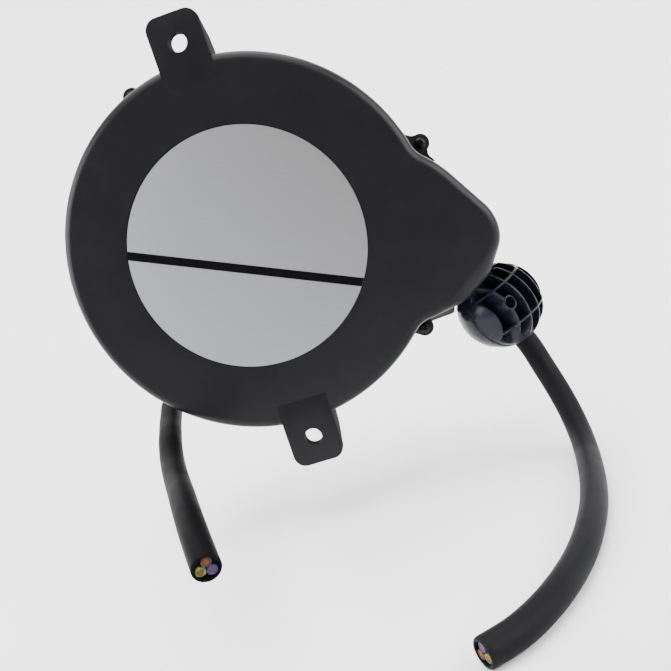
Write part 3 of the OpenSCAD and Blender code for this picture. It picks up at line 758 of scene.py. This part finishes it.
rings = inner_front + [(seat(p, 26.0), y) for p, y in rings] + [(seat(O_, y), y) for y in (25.6, 23.0, 20.0, 17.5, 15.5, 14.0, 13.1)] + [(O_, 12.9), (O_, 9.0)]
for i in range(13):
    a = math.radians(90 * i / 12)
    rings.append(([o + (q - o) * (1 - math.cos(a)) for o, q in zip(O_, I_)], [f * (1 - math.sin(a)) for f in fillet]))
front = shell("front_cover_shell", rings, (LX, LZ), 50.35, 0.0, 0.6)
tidy(front, 1e-7)
sharp(front, 40)

rings = [(outline(2.5, 2.5), 26.0), (outline(0.35, 0.35), 26.0), (outline(0.08, 0.08), 26.2), (O_, 26.4), (O_, 29.0), (O_, 32.0), (O_, 34.5), (O_, 36.5), (O_, 38.0), (O_, 38.9)]
inner_rear = [(outline(5, 4), 45.5), (outline(3.5, 3.2), 43.5), (outline(2.5, 2.5), 41.0)]
inner_rear += [(seat_in(outline(2.5, 2.5), y), y) for y in (40.9, 38.9, 36.5, 34.5, 32.0, 29.0, 26.4)]
rings = inner_rear + [(seat(p, y), y) for p, y in rings] + [(O_, 39.1)]
for i in range(15):
    a = math.radians(90 * i / 14)
    dd = 7 * (1 - math.cos(a))
    rings.append((outline(dd, dd * 0.5), 41 + 7 * math.sin(a)))
rear = shell("rear_cover_shell", rings, (0, 0), 24.0, 48.0, -2.0, True)
tidy(rear, 1e-7)
sharp(rear, 40)


def prism(name, pts, y0, y1):
    """outline in X and Z (mm) pushed along Y"""
    n = len(pts)
    vs = [(p[0] * MM, y * MM, p[1] * MM) for y in (y0, y1) for p in pts]
    fs = [tuple(range(n)), tuple(range(2 * n - 1, n - 1, -1))]
    fs += [(k, n + k, n + (k + 1) % n, (k + 1) % n) for k in range(n)]
    ob = mesh_object(name, vs, fs, False)
    tidy(ob, 1e-8)
    return ob


def prism_x(name, pts, x0, x1):
    """outline in Y and Z (mm) pushed along X"""
    n = len(pts)
    vs = [(x * MM, p[0] * MM, p[1] * MM) for x in (x0, x1) for p in pts]
    fs = [tuple(range(n)), tuple(range(2 * n - 1, n - 1, -1))]
    fs += [(k, n + k, n + (k + 1) % n, (k + 1) % n) for k in range(n)]
    ob = mesh_object(name, vs, fs, False)
    tidy(ob, 1e-8)
    return ob


def lug(name, s):
    w = 11.0
    r = 5.2
    tip = 96.8
    pts = [np.array([-w, 68.0])] + arc(np.array([-w + r, tip - r]), r, 180, 90, 10) + arc(np.array([w - r, tip - r]), r, 90, 0, 10) + [np.array([w, 68.0])]
    pts = [np.array([p[0], s * p[1]]) for p in pts]
    plate = prism(name, pts, -0.012, 3.0)
    for x0, x1 in ((-w, -w + 2.5), (w - 2.5, w)):
        g = prism_x("g", [(0.2, s * 76.0), (15.0, s * 76.0), (15.0, s * 78.4), (12.2, s * 85.2), (2.9, s * 91.8), (0.2, s * 91.8)], x0, x1)
        boolean(plate, g, "UNION")
    b = revolve("b", [(0.0, 1.0), (7.0, 1.0), (7.0, 6.0), (0.0, 6.0)], (0, 0, s * 85.2), "Y", 48, False)
    boolean(plate, b, "UNION")
    bevel(plate, 0.35 * MM, 3, 50)
    h = revolve("h", [(0.0, -2.0), (4.05, -2.0), (4.05, -0.1), (3.75, 0.2), (3.75, 9.0), (0.0, 9.0)], (0, 0, s * 85.2), "Y", 64, False)
    boolean(plate, h, "DIFFERENCE")
    sharp(plate, 35)
    for f in plate.data.polygons:
        f.material_index = 1 if abs(f.normal.y) < 0.3 else 0
    return plate


EARS = [(12.7, 82.0), (112.2, 80.5), (175, 80.5), (234, 80.5), (-44.6, 82.5)]


def ear_outline(a0, q):
    """rounded tab that widens in a soft flare to the housing"""
    side = [[74.0, 8.6], [77.0, 7.8], [78.4, 6.4], [79.3, 5.4], [80.2, 4.6], [q - 0.2, 3.98]] if q > 81 else [[74.0, 8.2], [77.2, 7.0], [78.2, 5.6], [79.0, 4.7], [79.7, 4.15], [q - 0.2, 3.98]]
    side = [side[0], side[1]] + [list(p) for p in catmull(side[1:], 0.5)][1:]
    pts = [np.array([p[0], -p[1]]) for p in side]
    pts += arc(np.array([q, 0.0]), 4.0, -90, 90, 24)
    pts += [np.array(p) for p in side][::-1]
    c, s = math.cos(math.radians(a0)), math.sin(math.radians(a0))
    return [np.array([p[0] * c - p[1] * s, p[0] * s + p[1] * c]) for p in pts]


front_parts = [front, lug("lug_upper", 1), lug("lug_lower", -1)]
rear_parts = [rear]
web = [[83.4, -3.0], [83.25, -4.3], [82.85, -5.2], [82.8, -6.0], [82.95, -6.8], [83.25, -7.5], [83.6, -8.2], [83.9, -9.6], [80.6, -8.6], [79.0, -4.0]]
ca, sa = math.cos(math.radians(EARS[0][0])), math.sin(math.radians(EARS[0][0]))
web = [np.array([p[0] * ca - p[1] * sa, p[0] * sa + p[1] * ca]) for p in web]
for parts, y0, y1 in ((front_parts, 22.05, 25.8), (rear_parts, 26.1, 30.9)):
    w_ = prism("ear_web", web, y0, y1)
    sharp(w_, 35)
    parts.append(w_)
for k, (a, q) in enumerate(EARS):
    f = prism(f"ear_front_{k}", ear_outline(a, q), 22.0, 25.85)
    bevel(f, 0.35 * MM, 3, 50)
    sharp(f, 35)
    r_ = prism(f"ear_rear_{k}", ear_outline(a, q), 26.05, 31.0)
    bevel(r_, 0.35 * MM, 3, 50)
    sharp(r_, 35)
    front_parts.append(f)
    rear_parts.append(r_)


def join(name, obs):
    """one object out of several meshes"""
    base = obs[0]
    bm = bmesh.new()
    for o in obs:
        tmp = o.data.copy()
        tmp.transform(o.matrix_world)
        bm.from_mesh(tmp)
        bpy.data.meshes.remove(tmp)
    bm.to_mesh(base.data)
    bm.free()
    base.data.update()
    for o in obs[1:]:
        bpy.data.objects.remove(o, do_unlink=True)
    base.name = name
    return base


def skirt(name, y0, y1):
    """flared wall beside the ball, from the nose's lower edge down to the joint line"""
    n = 10
    vs, fs = [], []
    rows = []
    for i in range(n + 1):
        t = i / n
        y = y0 + (y1 - y0) * t
        low_a = np.array([62.3, -51.8]) * (1 - t) + np.array([61.6, -57.1]) * t
        low_b = np.array([73.55, -50.1]) * (1 - t) + np.array([73.2, -56.5]) * t
        top_a = np.array([61.0, -48.0])
        top_b = np.array([74.5, -44.5])
        row = [top_a] + [top_a + (low_a - top_a) * q for q in (0.5, 0.9)] + [low_a + np.array([0.5, -0.0])]
        row += [low_a + (low_b - low_a) * q for q in (0.12, 0.5, 0.88)]
        row += [low_b + np.array([0.0, 0.3]), low_b + (top_b - low_b) * 0.4, top_b]
        rows.append((row, y))
    m = len(rows[0][0])
    for row, y in rows:
        for p in row:
            vs.append((p[0] * MM, y * MM, p[1] * MM))
    for i in range(n):
        for k in range(m - 1):
            fs.append((i * m + k, i * m + k + 1, (i + 1) * m + k + 1, (i + 1) * m + k))
    fs.append(tuple(range(m - 1, -1, -1)))
    fs.append(tuple(n * m + k for k in range(m)))
    ob = mesh_object(name, vs, fs)
    tidy(ob, 1e-7)
    bm = bmesh.new()
    bm.from_mesh(ob.data)
    bmesh.ops.holes_fill(bm, edges=[e for e in bm.edges if e.is_boundary], sides=0)
    bmesh.ops.recalc_face_normals(bm, faces=bm.faces)
    bm.to_mesh(ob.data)
    bm.free()
    sharp(ob, 40)
    ob.data.polygons.foreach_set("material_index", [1] * len(ob.data.polygons))
    return ob


front_parts.append(skirt("skirt_front", 4.5, 25.9))
rear_parts.append(skirt("skirt_rear", 47.0, 26.1))
mouth = revolve("mouth_collar", [(6.65, 66.0), (6.65, 71.3), (6.8, 71.45), (7.4, 71.45), (7.6, 71.25), (7.6, 66.0), (6.65, 66.0)], (t0[0], 26.0, t0[1]), D, 64)
sharp(mouth, 40)
front_parts.append(mouth)
front = join("front_cover_shell", front_parts)
rear = join("rear_cover_shell", rear_parts)

# rear face: raised ring and radial ribs
extra = [revolve("rear_ring", [(66.2, 47.9), (66.4, 49.0), (66.8, 49.4), (68.0, 49.4), (68.4, 49.0), (68.6, 47.9), (66.2, 47.9)], (0, 0, 0), "Y", 120)]
for a in range(0, 360, 45):
    if a == 225:
        continue
    pts = [np.array([32.0, -0.8]), np.array([66.4, -0.8]), np.array([66.4, 0.8]), np.array([32.0, 0.8])]
    c, s = math.cos(math.radians(a)), math.sin(math.radians(a))
    pts = [np.array([p[0] * c - p[1] * s, p[0] * s + p[1] * c]) for p in pts]
    r_ = prism(f"rear_rib_{a}", pts, 47.5, 49.4)
    bevel(r_, 0.4 * MM, 3, 50)
    sharp(r_, 35)
    extra.append(r_)
rear = join("rear_cover_shell", [rear] + extra)
for ob, n, s in ((front, "front_cover", "black_housing"), (rear, "rear_cover", "black_housing")):
    set_mat(ob, m_housing)
    ob.data.materials.append(m_matt)
    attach(ob, "housing")
    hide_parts(n)


# ------------------------------------------------------------------ screws
def slot(c, u, w, ax, depth, size, width):
    """tapered bar that cuts one arm pair of a cross recess"""
    vs = []
    for z, k in ((0.6, 1.0), (-depth, 0.45)):
        for sa, sb in ((-1, -1), (1, -1), (1, 1), (-1, 1)):
            vs.append((c + ax * z + u * sa * size * k + w * sb * width * 0.5) * MM)
    fs = [(0, 1, 2, 3), (7, 6, 5, 4)] + [(k, 4 + k, 4 + (k + 1) % 4, (k + 1) % 4) for k in range(4)]
    ob = mesh_object("recess", vs, fs, False)
    tidy(ob, 1e-9)
    return ob


def pan_screw(name, c, ax, r, hh, shank_r, shank_l):
    """pan head; c is under the head, ax points out of the head"""
    c = np.array(c, float)
    ax = np.array(ax, float)
    h = np.array([0, 0, 1.0])
    u = np.cross(h, ax)
    u /= np.linalg.norm(u)
    w = np.cross(ax, u)
    a = 0.35
    u, w = u * math.cos(a) + w * math.sin(a), w * math.cos(a) - u * math.sin(a)
    prof = [(0.0, hh), (r * 0.45, hh * 0.99), (r * 0.75, hh * 0.86), (r * 0.93, hh * 0.62), (r, hh * 0.32), (r, 0.06), (r * 0.97, 0.0), (shank_r, 0.0), (shank_r, -shank_l), (0.0, -shank_l)]
    ob = revolve(name, prof, c, ax, 40)
    whole = ob.data.copy()
    for p_, q_ in ((u, w), (w, u)):
        boolean(ob, slot(c + ax * hh, p_, q_, ax, hh * 0.7, r * 0.62, r * 0.24))
    if len(ob.data.vertices) < 200:
        ob.data = whole
    sharp(ob, 35)
    return ob


hs = [pan_screw(f"hs_{k}", (pol(q, a)[0], 22.0, pol(q, a)[1]), (0, -1, 0), 2.4, 1.7, 1.25, 8.0) for k, (a, q) in enumerate(EARS)]
hs = join("housing_screw_set", hs)
set_mat(hs, m_black_screw)
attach(hs, "housing")
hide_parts("housing_screws")
cs = [pan_screw(f"cs_{k}", (pol(27, a)[0], 51.0, pol(27, a)[1]), (0, 1, 0), 2.6, 1.6, 1.25, 8.4) for k, a in enumerate((90, 330, 160))]
cs = join("cover_screw_set", cs)
set_mat(cs, m_black_screw)
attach(cs, "housing")
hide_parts("cover_screws")

# ------------------------------------------------------------------ label
lab = revolve("label_disc_foil", [(0.0, 0.15), (30.0, 0.15), (49.6, 0.15), (49.9, 0.2), (50.0, 0.32), (50.0, 0.6), (0.0, 0.6)], (LX, 0, LZ), "Y", 160)
sharp(lab, 30)
set_mat(lab, m_label)
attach(lab, "housing")
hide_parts("label_disc")


def bar():
    """plain dark bar printed across the label, below its centre"""
    a = math.radians(-24.06)
    d = np.array([math.cos(a), math.sin(a)])
    n = np.array([-d[1], d[0]])
    c = np.array([LX, LZ])
    low, high = -8.55 - 1.8, -8.55 + 1.8
    R = 49.92
    def edge(h, sgn, k):
        return c + n * h + d * sgn * math.sqrt(R * R - h * h)
    N_ = 24
    pts = []
    for i in range(N_ + 1):
        t = -1 + 2 * i / N_
        pts.append(c + n * high + d * t * math.sqrt(R * R - high * high))
    for i in range(1, 5):
        pts.append(edge(high + (low - high) * i / 5, 1, 0))
    for i in range(N_ + 1):
        t = 1 - 2 * i / N_
        pts.append(c + n * low + d * t * math.sqrt(R * R - low * low))
    for i in range(1, 5):
        pts.append(edge(low + (high - low) * i / 5, -1, 0))
    return prism("label_bar", pts, 0.135, 0.3)


bar_ob = bar()
set_mat(bar_ob, m_bar)
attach(bar_ob, "housing")

# ------------------------------------------------------------------ stop ball
BX = np.array([0.7071 * 0.9397, 0.7071, 0.7071 * 0.342])
BP = np.array([0.7071 * 0.9397, -0.7071, 0.7071 * 0.342])
BC = on_line(ball_s)
B_LO, B_HI = -0.82 * ball_r, 0.94 * ball_r


def local_box(name, x0, x1, y0, y1, z0, z1):
    vs = [(x * MM, y * MM, z * MM) for x in (x0, x1) for y in (y0, y1) for z in (z0, z1)]
    fs = [(0, 1, 3, 2), (4, 6, 7, 5), (0, 4, 5, 1), (2, 3, 7, 6), (0, 2, 6, 4), (1, 5, 7, 3)]
    ob = mesh_object(name, vs, fs, False)
    tidy(ob, 1e-9)
    return ob


def local_cyl(name, r, a, b, axis, c=(0, 0, 0), n=48):
    return revolve(name, [(0.0, a), (r, a), (r, b), (0.0, b)], c, axis, n, False)


def ball_solid():
    """one half in its own frame: z runs along the cable, y points at the pole"""
    parts = [local_box("p", -20, 20, 0.05, 3, B_LO, B_HI), local_cyl("p", 7.2, B_LO, B_HI, "Z")]
    for x in (-10.4, -4.5, 1.3, 7.4):
        parts.append(local_box("p", x - 0.38, x + 0.38, 0.05, 20, B_LO, B_HI))
    for z in (-9.6, 7.9):
        parts.append(local_box("p", -20, 20, 0.05, 20, z - 0.4, z + 0.4))
    parts.append(local_box("p", 13.0, 20, 0.05, 20, B_LO, B_HI))
    parts.append(local_box("p", -20, -15.6, 0.05, 20, B_LO, B_HI))
    parts.append(local_cyl("p", 3.2, 0.05, 15.6, "Y", (-9, 0, -1.6)))
    parts.append(local_cyl("p", 3.7, 0.05, 5.0, "Y", (9, 0, -1.6)))
    for p in parts:
        prof = [(0.0, -ball_r)] + [(ball_r * math.sin(math.radians(a)), -ball_r * math.cos(math.radians(a))) for a in range(3, 180, 3)] + [(0.0, ball_r)]
        s = revolve("s", prof, (0, 0, 0), "X", 120, False)
        boolean(p, s, "INTERSECT")
        c = local_box("c", -21, 21, 0.05, 21, B_LO, B_HI)
        boolean(p, c, "INTERSECT")
        boolean(p, local_cyl("c", 5.04, -21, 21, "Z", (0, 0, 0), 64))
        boolean(p, local_cyl("c", 2.5, 10.3, 22, "Y", (-9, 0, -1.6), 40))
    ob = join("ball_solid", parts)
    rm = ob.modifiers.new("r", "REMESH")
    rm.mode = "VOXEL"
    rm.voxel_size = 0.2 * MM
    rm.adaptivity = 0.0
    apply_mods(ob)
    sm = ob.modifiers.new("s", "SMOOTH")
    sm.factor = 0.5
    sm.iterations = 2
    apply_mods(ob)
    return ob


half = ball_solid()
for name, node, sx in (("ball_front", "ball_half_front", 1.0), ("ball_rear", "ball_half_rear", -1.0)):
    me = half.data.copy()
    if sx > 0:
        # groove beside the joint, moulded into the front half only
        co = np.empty(len(me.vertices) * 3)
        me.vertices.foreach_get("co", co)
        co = co.reshape(-1, 3)
        rad = np.linalg.norm(co, axis=1)
        dip = 0.5 * MM * np.exp(-(((co[:, 1] / MM - 0.8) / 0.42) ** 4)) * (rad > 18.2 * MM)
        co *= ((rad - dip) / rad)[:, None]
        me.vertices.foreach_set("co", co.ravel())
        me.update()
    X = BX * sx
    P_ = BP * sx
    M = Matrix(((X[0], P_[0], D[0], BC[0] * MM), (X[1], P_[1], D[1], BC[1] * MM), (X[2], P_[2], D[2], BC[2] * MM), (0, 0, 0, 1)))
    me.transform(M)
    if M.determinant() < 0:
        me.flip_normals()
    ob = bpy.data.objects.new(name + "_moulding", me)
    bpy.context.scene.collection.objects.link(ob)
    dc = ob.modifiers.new("d", "DECIMATE")
    dc.ratio = 0.26
    apply_mods(ob)
    for f in ob.data.polygons:
        f.use_smooth = True
    set_mat(ob, m_ball)
    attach(ob, "cable_end")
    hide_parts(node)
bpy.data.objects.remove(half, do_unlink=True)


# ------------------------------------------------------------------ the run of cable in the nose
run_pts = [on_line(39 + (ball_s + B_LO - 0.02 - 39) * i / 60) for i in range(61)]
run = tube("cable_run_sheath", run_pts, 5.0, 40)
sharp(run, 50)
set_mat(run, m_cable)
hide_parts("cable_run")
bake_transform(run)

# ------------------------------------------------------------------ wire spring between the fixed post and the latch pawl
post = pol(66.0, 218.0)
au = pol(1.0, 60.0)
av = pol(1.0, 150.0)


def at_post(x, z):
    q = post + au * x + av * z
    return np.array([q[0], 11.3, q[1]])


wire = [at_post(2.0 * math.cos(math.radians(w)), 2.0 * math.sin(math.radians(w))) for w in range(410, 89, -8)]
wire += [at_post(0.8 + 7.2 * k / 30, 1.97) for k in range(31)]
wire += [at_post(8.12, 1.97), at_post(8.22, 1.97)]
spring_wire = tube("pawl_spring_wire", wire, 0.24, 14, prof=[0.24] * (len(wire) - 2) + [0.2, 0.08])
set_mat(spring_wire, m_steel)
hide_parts("pawl_spring")
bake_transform(spring_wire)

# ------------------------------------------------------------------ floor and light
floor_z = -126.0


def floor():
    """pale floor that sweeps up behind the reel"""
    prof = []
    for y in [-1600 + 160 * k for k in range(9)] + [-160 + 32 * k for k in range(11)]:
        prof.append((y, floor_z))
    y0, z0 = prof[-1]
    for i in range(1, 25):
        a = math.pi / 2 * i / 24
        prof.append((y0 + 600 * math.sin(a), z0 + 600 * (1 - math.cos(a))))
    for i in range(1, 6):
        prof.append((y0 + 600, z0 + 600 + i * 400.0))
    vs, fs = [], []
    for k in range(9):
        x = -3200 + k * 800.0
        for y, z in prof:
            vs.append((x * MM, y * MM, z * MM))
    m = len(prof)
    for k in range(8):
        for i in range(m - 1):
            fs.append((k * m + i, (k + 1) * m + i, (k + 1) * m + i + 1, k * m + i + 1))
    ob = mesh_object("floor_sweep", vs, fs)
    m_ = Mat("pale_floor")
    nz = m_.noise(6.0, 3.0, 0.6)
    # pale where the reel stands, greyer in front of it
    sx = m_.n("ShaderNodeSeparateXYZ")
    m_.l(m_.obj(), sx.inputs[0])
    tone = m_.math("ADD", m_.map(sx.outputs["Y"], -0.28, -0.125, 0.0, 0.96), m_.math("MULTIPLY", nz, 0.06))
    m_.l(m_.ramp(tone, [(0.0, (0.3, 0.3, 0.3, 1)), (0.97, (0.86, 0.86, 0.86, 1)), (1.0, (0.9, 0.9, 0.9, 1))]), m_.b.inputs["Base Color"])
    m_.set(Roughness=0.9, Specular_IOR_Level=0.1)
    set_mat(ob, m_.m)
    return ob


floor_ob = floor()


def area(name, loc, target, size, power, color=(1, 1, 1), shape="RECTANGLE", size_y=None):
    ld = bpy.data.lights.new(name, "AREA")
    ld.shape = shape
    ld.size = size
    if size_y:
        ld.size_y = size_y
    ld.energy = power
    ld.color = color
    ob = bpy.data.objects.new(name, ld)
    bpy.context.scene.collection.objects.link(ob)
    ob.location = loc
    d = Vector(target) - Vector(loc)
    ob.rotation_euler = d.to_track_quat("-Z", "Y").to_euler()
    return ob


world = bpy.data.worlds.new("studio")
bpy.context.scene.world = world
world.use_nodes = True
wt = world.node_tree
wt.nodes.clear()
wo = wt.nodes.new("ShaderNodeOutputWorld")
bg = wt.nodes.new("ShaderNodeBackground")
# soft surround, brighter above than below
wc = wt.nodes.new("ShaderNodeTexCoord")
ws = wt.nodes.new("ShaderNodeSeparateXYZ")
wt.links.new(wc.outputs["Generated"], ws.inputs[0])
wm = wt.nodes.new("ShaderNodeMapRange")
wm.interpolation_type = "SMOOTHSTEP"
wm.inputs["From Min"].default_value = -0.4
wm.inputs["From Max"].default_value = 0.35
wm.inputs["To Min"].default_value = 0.16
wm.inputs["To Max"].default_value = 0.65
wt.links.new(ws.outputs["Z"], wm.inputs["Value"])
bg.inputs["Color"].default_value = (1, 1, 1, 1)
wt.links.new(wm.outputs["Result"], bg.inputs["Strength"])
wt.links.new(bg.outputs[0], wo.inputs["Surface"])
area("top_panel", (0.0, 0.35, 1.6), (0.0, 0.5, 0.0), 1.8, 56, size_y=1.4)
area("left_panel", (-1.0, -0.3, 0.35), (0, 0, 0), 1.1, 28, size_y=0.9)
area("right_panel", (1.0, -0.4, 0.4), (0.05, 0, 0), 1.1, 28, size_y=0.9)
area("front_top_panel", (0.0, -0.36, 0.65), (0, 0, 0.05), 0.7, 4.5, size_y=0.3)
